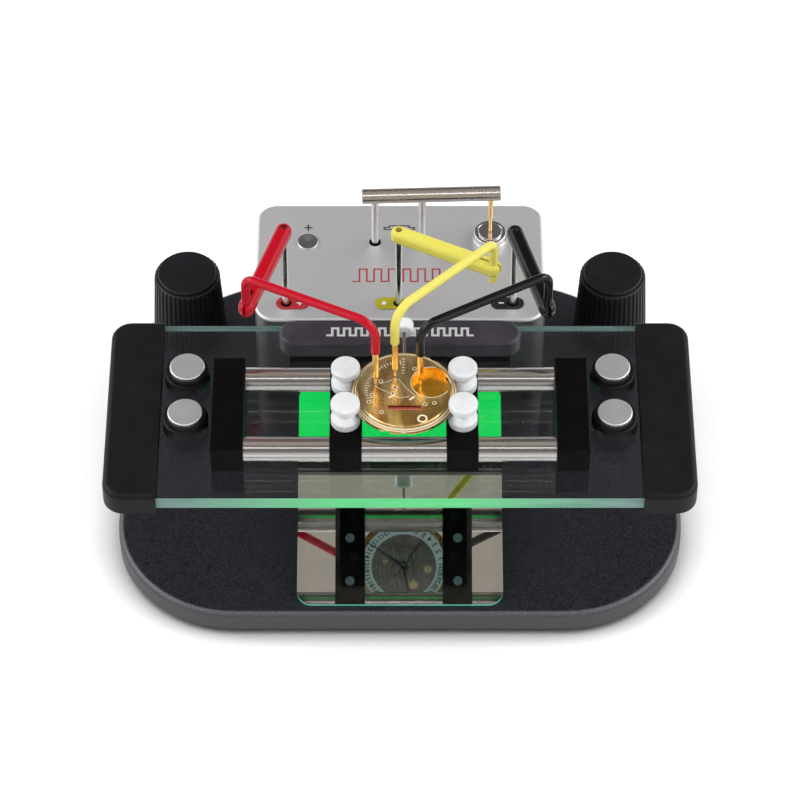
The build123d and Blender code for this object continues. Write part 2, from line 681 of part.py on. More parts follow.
def movement_plate():
    """Main plate with the thin flange that the spools grip, and a pocket for the cell."""
    inner, outer = RING_R
    ring_top = DIAL_Z + RING_THICK
    plate = rod(0, 0, DIAL_Z, PLATE_TOP, BODY_R) + rod(0, 0, FLANGE_LOW, PLATE_TOP, FLANGE_R)
    plate -= rod(0, 0, DIAL_Z, ring_top, outer + 0.1)
    plate += rod(0, 0, DIAL_Z - 0.1, ring_top, inner - 0.1)
    plate += rod(0, 0, DIAL_Z - 2.1, DIAL_Z, ARBOR_R)
    for angle in (-109.0, -90.0, 57.0):
        plate -= Rot(0, 0, angle) * rod(FLANGE_R, 0, FLANGE_LOW, PLATE_TOP, 0.75)
    plate = Pos(MOVE_X, 0, 0) * plate
    plate -= Pos(MOVE_X, BODY_R, STEM_Z) * Rot(90, 0, 0) * Cylinder(STEM_R + CLEAR, 6.0)
    plate -= rod(*CELL_POCKET, POCKET_FLOOR, PLATE_TOP, POCKET_R)
    return plate


def movement_bridge():
    """Train bridge: a round plate with the cell opening, the coil window and its screws."""
    bridge = rod(MOVE_X, 0, PLATE_TOP, BRIDGE_PLATE_TOP, BODY_R)
    bridge = chamfer(top_edges(bridge), 0.25)
    bridge -= rod(*CELL_POCKET, PLATE_TOP, BRIDGE_PLATE_TOP, POCKET_R)
    bridge -= block(*COIL_WINDOW, PLATE_TOP, BRIDGE_PLATE_TOP)
    for x, y, radius in ((-2.9, 4.4, 0.75), (-4.4, -3.9, 0.75), (6.1, -4.7, 0.7),
                         (8.2, -4.3, 0.7), (5.5, -8.6, 1.1), (-3.2, 9.6, 1.0)):
        bridge -= rod(x, y, BRIDGE_PLATE_TOP - 0.5, BRIDGE_PLATE_TOP, radius)
        screw = rod(x, y, BRIDGE_PLATE_TOP - 0.5, BRIDGE_PLATE_TOP - 0.05, radius - 0.12)
        screw -= Pos(x, y, BRIDGE_PLATE_TOP) * Rot(0, 0, 35.0 * x) * Box(2 * radius, 0.22, 0.5)
        bridge += screw
    return bridge


def movement_coil():
    x0, x1, y0, y1 = COIL_WINDOW
    coil = block(x0 + 0.1, x1 - 0.1, y0 + 0.1, y1 - 0.1, PLATE_TOP, BRIDGE_PLATE_TOP - 0.3)
    return fillet(coil.edges().filter_by(Axis.X), 0.25)


def date_ring():
    inner, outer = RING_R
    ring = rod(0, 0, DIAL_Z, DIAL_Z + RING_THICK, outer)
    return Pos(MOVE_X, 0, 0) * (ring - rod(0, 0, DIAL_Z, DIAL_Z + RING_THICK, inner))


def hand(length, tail, width, angle, low):
    """Straight tapered hand on the centre arbor, with its tail on the other side."""
    half = width / 2
    outline = Polyline((-tail, -half), (length, -half * 0.4), (length, half * 0.4),
                       (-tail, half), close=True)
    blade = extrude(make_face(outline), 0.2) + Pos(0, 0, 0.1) * Cylinder(0.9, 0.2)
    blade -= Cylinder(ARBOR_R, 2.0)
    return Pos(MOVE_X, 0, low) * Rot(0, 0, angle) * blade


def watch_hands():
    return [hand(7.4, 1.5, 0.85, -81.6, DIAL_Z - 0.8), hand(11.2, 1.5, 0.65, 147.5, DIAL_Z - 1.3),
            hand(10.2, 3.3, 0.28, 54.7, DIAL_Z - 1.8)]


def crown_stem():
    """Setting stem with its big nylon crown, drawn out to the back."""
    turn = Rot(90, 0, 0)
    stem_start, crown_start = BODY_R - 2.6, 20.0
    length = crown_start - stem_start
    stem = Pos(MOVE_X, stem_start + length / 2, STEM_Z) * turn * Cylinder(STEM_R, length)
    crown = Pos(MOVE_X, crown_start + CROWN_LENGTH / 2, STEM_Z) * turn
    crown = crown * Cylinder(CROWN_R, CROWN_LENGTH)
    return stem + fillet(crown.edges().filter_by(GeomType.CIRCLE), 0.7)


# ---------------------------------------------------------------- write every node

def save_everything():
    save("base_plate", base_plate())
    save("front_feet", *front_feet())
    save("fixing_screws", *fixing_screws(), *clamp_screws())
    save("level_bushings", level_bushing(-1), level_bushing(1))
    for name, side in (("left", -1), ("right", 1)):
        save(f"level_knob_{name}", level_knob(side))
        save(f"level_spindle_{name}", level_spindle(side))
    save("instrument_box", instrument_box())
    save("circuit_board", circuit_board())
    save("rear_socket", rear_socket())
    save("post_bushings", *post_bushings())
    for colour in ARMS:
        save(f"pad_{colour}", pole_pad(colour))
        save(f"post_{colour}", post(colour))
        save(f"arm_{colour}", arm(colour))
        save(f"probe_rod_{colour}", probe_rod(colour))
        save(f"probe_barrel_{colour}", probe_barrel(colour))
        save(f"probe_tip_{colour}", probe_tip(colour))
    save("bridge_bar", bridge_bar())
    save("bridge_posts", *bridge_posts())
    save("cell_pin_barrel", cell_pin_barrel())
    save("cell_pin_tip", cell_pin_tip())
    save("cell_contacts", *cell_contacts())
    save("button_cell", button_cell())
    save("glass_plate", glass_plate())
    save("end_caps", end_cap(-1), end_cap(1))
    save("magnet_cups", *[magnet_cup(x, y) for x, y in magnet_places()])
    save("magnet_discs", *[magnet_disc(x, y) for x, y in magnet_places()])
    save("clamp_bar", clamp_bar())
    save("support_bracket", support_bracket())
    save("guide_rods", *guide_rods())
    save("end_blocks", end_block(-1), end_block(1))
    for name, span in (("left", JAW_LEFT), ("right", JAW_RIGHT)):
        x = SPOOL_X[name]
        save(f"jaw_{name}", jaw(span, x))
        save(f"spools_{name}", *[spool(x, side * SPOOL_Y) for side in (-1, 1)])
        save(f"spool_pins_{name}", *[spool_pin(x, side * SPOOL_Y) for side in (-1, 1)])
    save("mirror_plate", rounded_slab(0, WINDOW_START, 3.7, 0))
    save("green_window", rounded_slab(WINDOW_START, MIRROR_LENGTH, 0, 2.0))
    save("mirror_carrier", mirror_carrier())
    save("led_board", led_board())
    save("movement_plate", movement_plate())
    save("movement_bridge", movement_bridge())
    save("movement_coil", movement_coil())
    save("date_ring", date_ring())
    save("watch_hands", *watch_hands())
    save("crown_stem", crown_stem())


os.makedirs("parts", exist_ok=True)
save_everything()
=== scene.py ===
import json
import math

import bmesh
import bpy
from mathutils import Matrix, Vector

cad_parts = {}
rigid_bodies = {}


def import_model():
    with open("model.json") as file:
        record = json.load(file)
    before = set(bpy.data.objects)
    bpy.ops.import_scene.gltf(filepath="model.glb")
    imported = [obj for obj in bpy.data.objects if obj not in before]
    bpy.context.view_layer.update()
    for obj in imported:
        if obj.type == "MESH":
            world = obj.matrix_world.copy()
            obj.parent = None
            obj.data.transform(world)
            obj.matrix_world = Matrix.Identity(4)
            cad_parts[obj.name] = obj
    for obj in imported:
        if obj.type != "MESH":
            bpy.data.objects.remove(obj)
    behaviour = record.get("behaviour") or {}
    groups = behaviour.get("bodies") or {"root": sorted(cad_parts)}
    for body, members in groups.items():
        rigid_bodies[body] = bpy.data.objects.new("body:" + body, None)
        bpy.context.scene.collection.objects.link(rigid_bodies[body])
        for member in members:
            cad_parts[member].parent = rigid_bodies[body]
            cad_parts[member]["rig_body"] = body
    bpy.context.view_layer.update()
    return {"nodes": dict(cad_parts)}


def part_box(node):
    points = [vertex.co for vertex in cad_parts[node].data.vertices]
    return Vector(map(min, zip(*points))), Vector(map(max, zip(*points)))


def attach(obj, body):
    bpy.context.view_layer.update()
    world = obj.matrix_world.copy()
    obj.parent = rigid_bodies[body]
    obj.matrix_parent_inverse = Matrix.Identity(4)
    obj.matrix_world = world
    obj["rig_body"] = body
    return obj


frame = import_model()

MM = 0.001
nodes = frame["nodes"]
TURN = 2 * math.pi


# ---------------------------------------------------------------- places, all from the frame

def middle(node):
    """Centre of a node's box at rest."""
    low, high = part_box(node)
    return (low + high) / 2


def top(node):
    """Height of a node's highest point."""
    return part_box(node)[1].z


def body_of_node(node):
    """Name of the body that a CAD node belongs to."""
    return nodes[node]["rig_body"]


STAGE = middle("guide_rods")
MOVE = middle("date_ring")
MOVE_TOP = top("movement_bridge")
RING_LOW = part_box("date_ring")[0].z

# In mm, in plan from the stage centre
MOVE_X = 1.0                   # centre of the movement, which is at y = 0
POCKET_X, POCKET_Y = 7.4, 2.49     # centre of the cell pocket
POCKET_R = 4.76                # takes in the pocket's wall
DIAL_R = 8.45                  # grey centre of the dial side
CROWN_Y = 19.95                # the white crown is behind this, and the bare stem before it


def at(x, y, z=0.0):
    """A point given in mm from the stage centre, between the two guide rods."""
    return STAGE + Vector((x, y, z)) * MM


POCKET = at(POCKET_X, POCKET_Y)


# ---------------------------------------------------------------- shader helper

class Nodes:
    """Short ways to add, feed and join the nodes of one node tree."""

    def __init__(self, tree):
        self.tree = tree

    def add(self, kind, **settings):
        """New shader node of a kind, with its settings."""
        node = self.tree.nodes.new("ShaderNode" + kind)
        for key, value in settings.items():
            setattr(node, key, value)
        return node

    def link(self, source, target):
        """Join an output to an input."""
        self.tree.links.new(source, target)

    def feed(self, socket, value):
        """Put a number, a colour or another node's output on an input."""
        if isinstance(value, bpy.types.NodeSocket):
            self.link(value, socket)
        elif isinstance(value, tuple) and len(value) == 3 and socket.type == "RGBA":
            socket.default_value = (*value, 1.0)
        else:
            socket.default_value = value

    def ramp(self, factor, low, high, start=0.0, end=1.0):
        """Colour or number that runs from low to high as factor goes from start to end."""
        node = self.add("MapRange", clamp=True)
        self.link(factor, node.inputs["Value"])
        node.inputs["From Min"].default_value = start
        node.inputs["From Max"].default_value = end
        if not isinstance(low, tuple):
            node.inputs["To Min"].default_value = low
            node.inputs["To Max"].default_value = high
            return node.outputs["Result"]
        return self.mix(node.outputs["Result"], low, high)

    def mix(self, factor, a, b):
        """Colour between a and b."""
        node = self.add("Mix", data_type="RGBA")
        self.feed(node.inputs[0], factor)
        self.feed(node.inputs[6], a)
        self.feed(node.inputs[7], b)
        return node.outputs[2]

    def math(self, operation, a, b=0.0):
        """Result of one operation on a and b."""
        node = self.add("Math", operation=operation)
        for socket, value in zip(node.inputs, (a, b)):
            self.feed(socket, value)
        return node.outputs[0]

    def split(self, vector):
        """The x, y and z of a vector."""
        node = self.add("SeparateXYZ")
        self.link(vector, node.inputs[0])
        return node.outputs

    def mix_shader(self, factor, a, b):
        """Shader between a and b."""
        node = self.add("MixShader")
        self.feed(node.inputs[0], factor)
        self.link(a, node.inputs[1])
        self.link(b, node.inputs[2])
        return node.outputs[0]


class Shader(Nodes):
    """A node material round one Principled shader, in the row frame's own coordinates."""

    def __init__(self, name, **values):
        self.material = bpy.data.materials.new(name)
        self.material.use_nodes = True
        super().__init__(self.material.node_tree)
        self.bsdf = self.tree.nodes["Principled BSDF"]
        self.out = self.tree.nodes["Material Output"]
        self.coords = self.add("TexCoord")
        self.place = self.coords.outputs["Object"]
        for key, value in values.items():
            self.set(key.replace("_", " ").title(), value)

    def set(self, name, value):
        """Feed a Principled input by its name."""
        name = {"Ior": "IOR"}.get(name, name)
        self.feed(self.bsdf.inputs[name], value)

    def surface(self, shader):
        """Use another shader than the Principled one for the surface."""
        self.link(shader, self.out.inputs["Surface"])

    def scaled(self, scale):
        """The place on the object, scaled along each axis."""
        mapping = self.add("Mapping")
        mapping.inputs["Scale"].default_value = scale
        self.link(self.place, mapping.inputs["Vector"])
        return mapping.outputs["Vector"]

    def noise(self, size, detail=2.0, rough=0.5, stretch=(1, 1, 1)):
        """Noise whose grains are about size metres across, stretched along an axis."""
        node = self.add("TexNoise")
        node.inputs["Scale"].default_value = 1.0
        node.inputs["Detail"].default_value = detail
        node.inputs["Roughness"].default_value = rough
        scale = tuple(1.0 / (size * s) for s in stretch)
        self.link(self.scaled(scale), node.inputs["Vector"])
        return node.outputs["Fac"]

    def bump(self, height, strength, distance):
        """Raise the surface by a height pattern."""
        node = self.add("Bump")
        node.inputs["Strength"].default_value = strength
        node.inputs["Distance"].default_value = distance
        self.link(height, node.inputs["Height"])
        self.link(node.outputs["Normal"], self.bsdf.inputs["Normal"])


# ---------------------------------------------------------------- materials

def textured_paint():
    """Charcoal powder coat with a fine leathery grain, with a painted highlight that makes its walls
    and rounded edges paler.
    """
    s = Shader("textured_paint")
    grain = s.noise(0.35 * MM, detail=3.0)
    patch = s.noise(9 * MM, detail=2.0)
    colour = s.ramp(grain, (0.002, 0.0025, 0.0050), (0.021, 0.0215, 0.031), 0.40, 0.62)
    colour = s.mix(s.ramp(patch, 0.0, 0.25, 0.4, 0.6), colour, (0.014, 0.0145, 0.020))
    level = s.split(s.coords.outputs["Normal"])[2]
    # Painted highlight: the walls, turned away from straight up, get a paler colour.
    colour = s.mix(s.ramp(level, 1.0, 0.0, 0.55, 0.97), colour, (0.050, 0.048, 0.055))
    leaves_top = s.ramp(level, 1.0, 0.0, 0.90, 0.985)
    before_wall = s.ramp(level, 0.0, 1.0, 0.45, 0.65)
    rounded = s.math("MULTIPLY", leaves_top, before_wall)
    # Painted sheen: the rounded top edges get a paler, grainy colour.
    painted_light_colour = s.ramp(grain, (0.050, 0.050, 0.058), (0.105, 0.105, 0.12), 0.35, 0.65)
    s.set("Base Color", s.mix(rounded, colour, painted_light_colour))
    s.set("Roughness", s.ramp(grain, 0.34, 0.48, 0.3, 0.7))
    s.set("Specular IOR Level", 0.42)
    s.bump(grain, 0.40, 0.12 * MM)
    return s.material


def satin_black(name, colour, rough, shine, grain_size=0.12 * MM, strength=0.10):
    """Black anodised or moulded surface with a faint grain and slightly uneven sheen."""
    s = Shader(name)
    grain = s.noise(grain_size, detail=2.0)
    cloud = s.noise(6 * MM, detail=2.0)
    lighter = tuple(c * 1.5 for c in colour)
    s.set("Specular IOR Level", shine)
    s.set("Base Color", s.ramp(cloud, colour, lighter, 0.3, 0.7))
    s.set("Roughness", s.ramp(grain, rough - 0.05, rough + 0.07, 0.3, 0.7))
    s.bump(grain, strength, 0.05 * MM)
    return s.material


def metal(name, colour, rough, size=0.10 * MM, stretch=(1, 1, 1), strength=0.12, spread=0.08):
    """Metal with fine machining marks that run along the stretched axis."""
    s = Shader(name, metallic=1.0)
    marks = s.noise(size, detail=3.0, rough=0.6, stretch=stretch)
    cloud = s.noise(5 * MM, detail=1.0)
    darker = tuple(c * 0.90 for c in colour)
    s.set("Base Color", s.mix(s.ramp(cloud, 0.0, 0.5, 0.35, 0.65), colour, darker))
    s.set("Roughness", s.ramp(marks, max(rough - spread, 0.02), rough + spread, 0.3, 0.7))
    s.bump(marks, strength, 0.02 * MM)
    return s.material


def rod_metal(name, colour, rough, size, stretch):
    """Ground steel rod with painted shade, a darker mottled reflection, along the bands that face
    partly forward.
    """
    s = Shader(name, metallic=1.0)
    marks = s.noise(size, detail=3.0, rough=0.6, stretch=stretch)
    facing = s.split(s.coords.outputs["Normal"])[1]
    # Painted shade: the bands facing partly forward get a darker colour, mottled by the marks.
    band = s.math("MULTIPLY", s.ramp(facing, 0.0, 1.0, -0.86, -0.74),
                  s.ramp(facing, 1.0, 0.0, -0.45, -0.30))
    painted_shade_colour = tuple(c * 0.36 for c in colour)
    painted_light_colour = s.mix(s.math("MULTIPLY", band, s.ramp(marks, 0.6, 1.0, 0.35, 0.65)), colour, painted_shade_colour)
    s.set("Base Color", painted_light_colour)
    s.set("Roughness", s.ramp(marks, rough - 0.08, rough + 0.08, 0.3, 0.7))
    s.bump(marks, 0.04, 0.02 * MM)
    return s.material


def blasted_aluminium():
    """Pale blasted aluminium with a very fine sparkle; the upright walls get painted shade, a darker
    colour for the dark base that they reflect.
    """
    s = Shader("blasted_aluminium", metallic=1.0)
    grain = s.noise(0.10 * MM, detail=2.0)
    cloud = s.noise(14 * MM, detail=2.0)
    colour = s.ramp(grain, (0.58, 0.585, 0.595), (0.74, 0.745, 0.755), 0.3, 0.7)
    colour = s.mix(s.ramp(cloud, 0.0, 0.2, 0.35, 0.65), colour, (0.56, 0.565, 0.58))
    level = s.split(s.coords.outputs["Normal"])[2]
    facing_up = s.ramp(level, 0.0, 1.0, 0.05, 0.35)
    # Painted shade: the upright walls get a dark grey colour in place of the bright aluminium.
    s.set("Base Color", s.mix(facing_up, (0.26, 0.26, 0.27), colour))
    s.set("Roughness", s.ramp(facing_up, 0.30, 0.57))
    s.bump(grain, 0.15, 0.03 * MM)
    return s.material


def gloss(name, colour, rough=0.10, shine=0.16):
    """Gloss enamel or plastic sleeve with a soft orange-peel and a thin clear coat."""
    s = Shader(name, roughness=rough)
    peel = s.noise(1.6 * MM, detail=1.0)
    fine = s.noise(0.15 * MM, detail=2.0)
    darker = tuple(c * 0.95 for c in colour)
    s.set("Base Color", s.ramp(peel, darker, colour, 0.3, 0.7))
    s.set("Roughness", s.ramp(fine, rough, rough + 0.06, 0.4, 0.7))
    s.set("Specular IOR Level", shine)
    s.set("Coat Weight", 0.08)
    s.set("Coat Roughness", 0.04)
    s.bump(peel, 0.03, 0.04 * MM)
    return s.material


def crown_and_stem():
    """White nylon crown; nearer the movement the same node is a bare brown steel stem."""
    s = Shader("crown_and_stem", roughness=0.42)
    rings = s.noise(0.12 * MM, detail=2.0, stretch=(30, 1, 30))
    back = s.math("GREATER_THAN", s.split(s.place)[1], at(0, CROWN_Y).y)
    white = s.ramp(rings, (0.72, 0.74, 0.76), (0.80, 0.81, 0.82), 0.3, 0.7)
    s.set("Base Color", s.mix(back, (0.24, 0.17, 0.13), white))
    s.set("Metallic", s.math("SUBTRACT", 1.0, back))
    s.set("Roughness", s.ramp(back, 0.25, 0.42))
    s.bump(rings, 0.06, 0.03 * MM)
    return s.material


def nylon(name, low, high):
    """Turned nylon between two shades, slightly translucent, with faint tool rings."""
    s = Shader(name, roughness=0.42)
    rings = s.noise(0.12 * MM, detail=2.0, stretch=(30, 30, 1))
    cloud = s.noise(2 * MM, detail=1.0)
    s.set("Base Color", s.ramp(cloud, low, high, 0.3, 0.7))
    s.set("Roughness", s.ramp(rings, 0.34, 0.48, 0.3, 0.7))
    s.set("Subsurface Weight", 0.25)
    s.set("Subsurface Radius", (1.0, 1.0, 1.0))
    s.set("Subsurface Scale", 0.8 * MM)
    s.bump(rings, 0.06, 0.03 * MM)
    return s.material


def rubber():
    """Dull black rubber of the feet."""
    s = Shader("rubber", roughness=0.8)
    grain = s.noise(0.2 * MM)
    s.set("Base Color", s.ramp(grain, (0.012, 0.012, 0.012), (0.030, 0.030, 0.030), 0.3, 0.7))
    s.bump(grain, 0.4, 0.06 * MM)
    return s.material


def board_green():
    """Green solder mask with darker tracks."""
    s = Shader("board_green", roughness=0.35)
    tracks = s.noise(1.2 * MM, detail=0.0, stretch=(3, 1, 1))
    s.set("Base Color", s.ramp(tracks, (0.008, 0.10, 0.035), (0.03, 0.24, 0.09), 0.48, 0.52))
    s.bump(tracks, 0.3, 0.05 * MM)
    return s.material


def gold(name, colour, rough=0.2, stretch=(1, 60, 1), strength=0.08, patchy=1.0):
    """Gold plating over fine straight graining; its colour is kept for gold_movement to cover."""
    s = Shader(name, metallic=1.0)
    lines = s.noise(0.05 * MM, detail=2.0, stretch=stretch)
    cloud = s.noise(4 * MM, detail=2.0, stretch=(1, 3, 1))
    redder = (colour[0] * 0.62, colour[1] * 0.52, colour[2] * 0.40)
    s.plating = s.mix(s.ramp(cloud, 0.0, patchy, 0.42, 0.60), colour, redder)
    s.set("Base Color", s.plating)
    s.set("Roughness", s.ramp(lines, rough - 0.06, rough + 0.08, 0.3, 0.7))
    s.bump(lines, strength, 0.01 * MM)
    return s


def distance(s, centre):
    """Distance in plan from a fixed point."""
    place = s.split(s.place)
    across = s.math("POWER", s.math("SUBTRACT", place[0], centre.x), 2.0)
    along = s.math("POWER", s.math("SUBTRACT", place[1], centre.y), 2.0)
    return s.math("SQRT", s.math("ADD", across, along))


def gold_movement(name, colour, rough, strength):
    """Plated brass of the movement: amber in the cell pocket and grey in the dial's centre, both with
    a painted glow.
    """
    s = gold(name, colour, rough, (1, 80, 1), strength)
    height = s.split(s.place)[2]
    inside = s.math("LESS_THAN", distance(s, POCKET), POCKET_R * MM)
    below = s.math("LESS_THAN", height, MOVE_TOP - 0.02 * MM)
    above = s.math("GREATER_THAN", height, RING_LOW + 0.5 * MM)
    pocket = s.math("MULTIPLY", inside, s.math("MULTIPLY", below, above))
    amber = s.ramp(s.noise(1.5 * MM), (0.66, 0.34, 0.04), (0.86, 0.52, 0.10), 0.3, 0.7)
    under = s.math("LESS_THAN", height, RING_LOW + 0.45 * MM)
    middle_part = s.math("MULTIPLY", under, s.math("LESS_THAN", distance(s, MOVE), DIAL_R * MM))
    grey = s.ramp(s.noise(0.8 * MM), (0.16, 0.16, 0.155), (0.24, 0.235, 0.22), 0.3, 0.7)
    plated = s.mix(pocket, s.plating, amber)
    s.set("Base Color", s.mix(middle_part, plated, grey))
    # Painted glow: the cell pocket glows amber and the dial's grey centre glows faintly, though
    # neither is a lamp.
    s.set("Emission Color", s.mix(pocket, grey, (0.52, 0.20, 0.004)))
    s.set("Emission Strength", s.math("ADD", s.math("MULTIPLY", pocket, 0.20),
                                      s.math("MULTIPLY", middle_part, 0.10)))
    return s


def coil_copper():
    """Fine red enamelled wire, wound across the length of the coil."""
    s = Shader("coil_copper", roughness=0.3)
    wave = s.add("TexWave", bands_direction="X")
    wave.inputs["Scale"].default_value = 1.0 / (0.5 * MM)
    s.link(s.place, wave.inputs["Vector"])
    s.set("Base Color", s.ramp(wave.outputs["Fac"], (0.16, 0.012, 0.008), (0.42, 0.05, 0.03)))
    s.bump(wave.outputs["Fac"], 0.5, 0.05 * MM)
    return s.material


def edge_shader(s, colour, rough, shine, glow, strength):
    """Second Principled shader, for the cut edge of a glass plate."""
    rim = s.add("BsdfPrincipled")
    s.feed(rim.inputs["Base Color"], colour)
    s.feed(rim.inputs["Roughness"], rough)
    s.feed(rim.inputs["Specular IOR Level"], shine)
    s.feed(rim.inputs["Emission Color"], glow)
    s.feed(rim.inputs["Emission Strength"], strength)
    return rim.outputs[0]


def see_through(s, tint):
    """Let shadow and bounce light pass straight through, so that things behind stay lit."""
    path = s.add("LightPath")
    clear = s.add("BsdfTransparent")
    clear.inputs["Color"].default_value = (*tint, 1.0)
    either = s.math("MAXIMUM", path.outputs["Is Shadow Ray"], path.outputs["Is Diffuse Ray"])
    return either, clear.outputs[0]


def stage_glass():
    """Clear plate glass; its front and rear edges are teal, and the front one carries green light."""
    s = Shader("stage_glass", roughness=0.0, ior=1.5, transmission_weight=1.0)
    smear = s.noise(18 * MM, detail=3.0)
    s.set("Base Color", (0.84, 0.89, 0.87))
    s.set("Specular IOR Level", 0.15)
    s.set("Roughness", s.ramp(smear, 0.0, 0.015, 0.4, 0.7))
    axis = s.split(s.coords.outputs["Normal"])
    place = s.split(s.place)
    camera_ray = s.add("LightPath").outputs["Is Camera Ray"]
    edge = s.math("GREATER_THAN", s.math("ABSOLUTE", axis[1]), 0.7)
    front = s.math("LESS_THAN", place[1], STAGE.y)
    reach = s.ramp(s.math("ABSOLUTE", place[0]), 1.0, 0.0, 14 * MM, 60 * MM)
    streak = s.noise(1.5 * MM, detail=3.0, stretch=(8, 1, 1))
    teal = s.ramp(streak, (0.14, 0.23, 0.225), (0.20, 0.31, 0.30), 0.35, 0.65)
    green = s.ramp(streak, (0.04, 0.22, 0.09), (0.06, 0.30, 0.12), 0.35, 0.65)
    lit = s.math("MULTIPLY", s.math("MULTIPLY", front, camera_ray), s.math("POWER", reach, 1.5))
    glow = s.math("MULTIPLY", lit, 0.72)
    rim = edge_shader(s, s.mix(lit, teal, green), 0.25, 0.3, (0.10, 0.56, 0.20), glow)
    body = s.mix_shader(edge, s.bsdf.outputs[0], rim)
    passes, clear = see_through(s, (0.90, 0.95, 0.93))
    s.surface(s.mix_shader(passes, body, clear))
    return s.material


def mirror_glass():
    """Silvered glass with thin teal edges that carry a painted teal glow."""
    s = Shader("mirror_glass", metallic=1.0)
    smear = s.noise(12 * MM, detail=3.0)
    s.set("Base Color", (0.72, 0.68, 0.665))
    s.set("Roughness", s.ramp(smear, 0.0, 0.02, 0.45, 0.7))
    axis = s.split(s.coords.outputs["Normal"])
    edge = s.math("LESS_THAN", axis[2], 0.8)
    # Painted glow: the thin edges glow teal, though they are no lamp.
    rim = edge_shader(s, (0.16, 0.55, 0.46), 0.15, 0.5, (0.10, 0.50, 0.38), 0.25)
    s.surface(s.mix_shader(edge, s.bsdf.outputs[0], rim))
    return s.material


def lit_window():
    """Slightly uneven green diffuser, lit from below; far dimmer where the mirror shows it."""
    s = Shader("lit_window", roughness=0.3)
    haze = s.noise(7 * MM, detail=1.0)
    s.set("Base Color", (0.0, 0.10, 0.02))
    s.set("Specular IOR Level", 0.08)
    s.set("Emission Color", s.ramp(haze, (0.0, 0.60, 0.085), (0.0, 0.66, 0.10), 0.35, 0.65))
    path = s.add("LightPath")
    direct = s.math("ADD", path.outputs["Is Camera Ray"], path.outputs["Is Transmission Ray"])
    mirrored = s.math("SUBTRACT", path.outputs["Is Glossy Ray"], direct)
    s.set("Emission Strength", s.ramp(mirrored, 1.08, 0.15))
    return s.material


def date_print():
    """Pale blue-green face of the date ring, with a painted glow that brightens it where it faces
    down.
    """
    s = Shader("date_print", roughness=0.45)
    grain = s.noise(0.3 * MM)
    s.set("Base Color", s.ramp(grain, (0.50, 0.66, 0.66), (0.60, 0.74, 0.74), 0.3, 0.7))
    # Painted glow: emission brightens the ring's downward face, though it is no lamp.
    s.set("Emission Color", (0.42, 0.60, 0.60))
    s.set("Emission Strength", 0.35)
    s.bump(grain, 0.05, 0.01 * MM)
    return s.material


def ink(name, colour, rough=0.45):
    """Printed ink with a slightly patchy cover."""
    s = Shader(name, roughness=rough)
    patch = s.noise(0.25 * MM, detail=2.0)
    darker = tuple(c * 0.85 for c in colour)
    s.set("Base Color", s.ramp(patch, darker, colour, 0.35, 0.6))
    return s.material


MAT = {
    "paint": textured_paint(),
    "anodised": satin_black("black_anodised", (0.0062, 0.0058, 0.0072), 0.40, 0.15),
    "deep_black": satin_black("black_machined", (0.0020, 0.0020, 0.0024), 0.42, 0.05),
    "moulded": satin_black("black_moulded", (0.0075, 0.0070, 0.0090), 0.36, 0.22, 0.25 * MM, 0.25),
    "bar_grey": satin_black("bar_grey", (0.030, 0.026, 0.034), 0.42, 0.30),
    "aluminium": blasted_aluminium(),
    "rod_steel": rod_metal("rod_steel", (0.60, 0.58, 0.565), 0.20, 0.06 * MM, (1, 6, 6)),
    "turned_steel": metal("turned_steel", (0.60, 0.55, 0.52), 0.24, 0.05 * MM, (1, 20, 20)),
    "pin_steel": metal("pin_steel", (0.62, 0.60, 0.58), 0.20, 0.05 * MM, (20, 20, 1)),
    "disc_steel": metal("disc_steel", (0.76, 0.77, 0.78), 0.46, 0.20 * MM, strength=0.3),
    "cell_steel": metal("cell_steel", (0.60, 0.58, 0.57), 0.16, 0.08 * MM),
    "screw_black": metal("screw_black", (0.06, 0.06, 0.06), 0.35),
    "brass": metal("brass", (0.66, 0.46, 0.18), 0.28),
    "gold_pin": gold("gold_pin", (0.88, 0.62, 0.26), 0.18, (40, 40, 1), 0.03, 0.25).material,
    "gold_plate": gold_movement("gold_plate", (1.0, 0.76, 0.40), 0.24, 0.03).material,
    "gold_bridge": gold_movement("gold_bridge", (1.0, 0.74, 0.36), 0.28, 0.12).material,
    "coil": coil_copper(),
    "red_paint": gloss("red_paint", (0.42, 0.003, 0.014)),
    "yellow_paint": gloss("yellow_paint", (0.70, 0.64, 0.11)),
    "black_paint": gloss("black_paint", (0.004, 0.004, 0.004), 0.10, 0.26),
    "red_sleeve": gloss("red_sleeve", (0.45, 0.004, 0.018), 0.14),
    "yellow_sleeve": gloss("yellow_sleeve", (0.74, 0.67, 0.13), 0.14),
    "black_sleeve": gloss("black_sleeve", (0.003, 0.003, 0.003), 0.12, 0.26),
    "nylon": nylon("white_nylon", (0.64, 0.66, 0.68), (0.72, 0.73, 0.74)),
    "pin_nylon": nylon("pin_nylon", (0.16, 0.23, 0.28), (0.22, 0.30, 0.36)),
    "crown": crown_and_stem(),
    "glass": stage_glass(),
    "mirror": mirror_glass(),
    "window": lit_window(),
    "rubber": rubber(),
    "pale_gold": gold("pale_gold", (0.95, 0.80, 0.52), 0.22, patchy=0.2).material,
    "jewel": ink("jewel", (0.16, 0.05, 0.06), 0.15),
    "ink_cream": ink("ink_cream", (0.92, 0.80, 0.56), 0.2),
    "coil_pale": ink("coil_pale", (0.55, 0.20, 0.16)),
    "board": board_green(),
    "date": date_print(),
    "hand_black": ink("hand_black", (0.010, 0.010, 0.010), 0.3),
    "pad_red": ink("pad_red", (0.45, 0.02, 0.03)),
    "pad_yellow": ink("pad_yellow", (0.42, 0.38, 0.01)),
    "pad_black": ink("pad_black", (0.008, 0.008, 0.008)),
    "ink_white": ink("ink_white", (0.80, 0.80, 0.78)),
    "ink_grey": ink("ink_grey", (0.55, 0.55, 0.56)),
    "ink_black": ink("ink_black", (0.012, 0.012, 0.014)),
    "ink_red": ink("ink_red", (0.36, 0.03, 0.04)),
}

